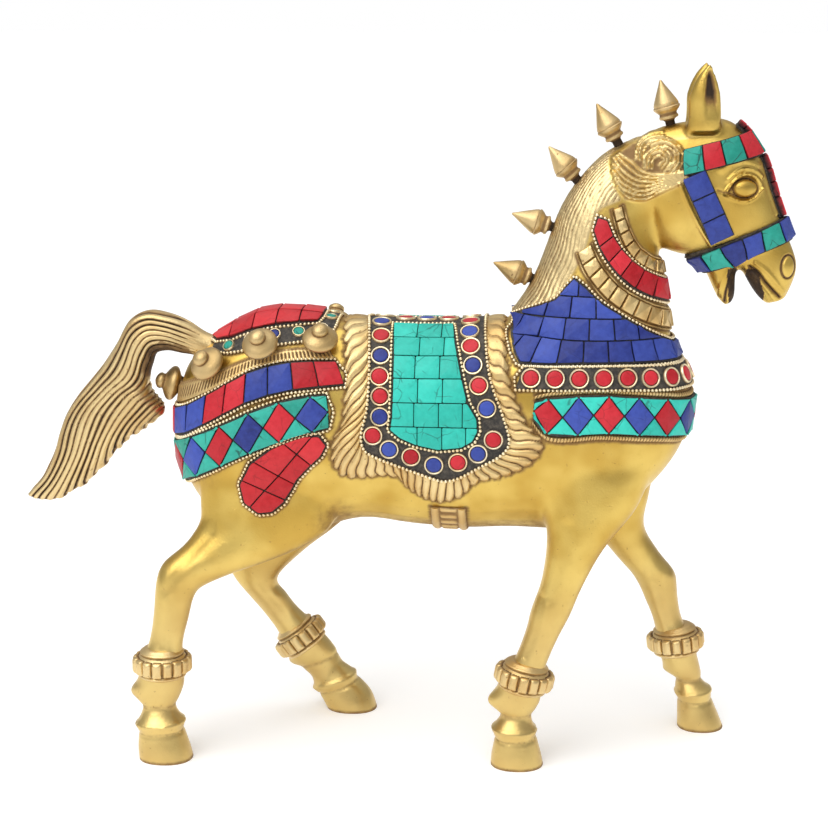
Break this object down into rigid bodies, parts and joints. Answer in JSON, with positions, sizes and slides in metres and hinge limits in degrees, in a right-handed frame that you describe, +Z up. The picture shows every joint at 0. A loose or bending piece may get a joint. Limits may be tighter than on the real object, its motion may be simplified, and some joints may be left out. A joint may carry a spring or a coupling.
{
  "type": "walking horse ornament",
  "caption": "Brass horse figurine in a walking stance with an arched tail, spiked crest, saddle blanket and bands of cut stone inlay over its back, chest, croup and head.",
  "frame": {"origin": "on the ground under the middle of the statue's bounding box", "axes": "+X the way the horse faces, +Y its left side, +Z up"},
  "size_m": [0.384, 0.1018, 0.3448],
  "materials": {
    "cast_brass": "cast and buffed, warm yellow, with brown patina in the hollows",
    "carved_brass": "chased and carved, pale gold on the ridges, dark brown in the grooves",
    "coral": "cut coral-red stone, satin",
    "pink_coral": "cut pinkish red stone, satin",
    "lapis": "cut deep blue stone, satin",
    "turquoise": "cut light turquoise stone, satin",
    "teal": "cut dark turquoise stone, satin",
    "resin_bed": "dark filled resin, matt, with brass collets"
  },
  "bodies": {
    "root": {"trunk": "cast_brass", "neck": "cast_brass", "head": "cast_brass", "right_hind_leg": "cast_brass", "left_hind_leg": "cast_brass", "right_fore_leg": "cast_brass", "left_fore_leg": "cast_brass", "tail": "carved_brass", "saddle_blanket": "carved_brass", "girth_strap": "carved_brass", "saddle_turquoise_right": "turquoise", "saddle_turquoise_left": "turquoise", "saddle_ring_border": "resin_bed", "chest_lapis_field": "lapis", "chest_ring_band": "resin_bed", "chest_diamond_band": "lapis", "coral_collar": "coral", "upper_square_collar": "carved_brass", "lower_square_collar": "carved_brass", "croup_coral_crest": "pink_coral", "croup_ring_border": "resin_bed", "croup_carved_band": "carved_brass", "breech_tile_band": "coral", "breech_diamond_band": "teal", "thigh_lobe_right": "pink_coral", "thigh_lobe_left": "pink_coral", "knob_rear": "carved_brass", "knob_right_1": "carved_brass", "knob_right_2": "carved_brass", "knob_right_3": "carved_brass", "knob_left_1": "carved_brass", "knob_left_2": "carved_brass", "knob_left_3": "carved_brass", "noseband": "lapis", "browband": "teal", "cheekpiece_right": "lapis", "cheekpiece_left": "lapis", "face_strip_upper": "coral", "face_strip_lower": "coral", "mane_spike_1": "carved_brass", "mane_spike_2": "carved_brass", "mane_spike_3": "carved_brass", "mane_spike_4": "carved_brass", "mane_spike_5": "carved_brass"}
  },
  "joints": []
}
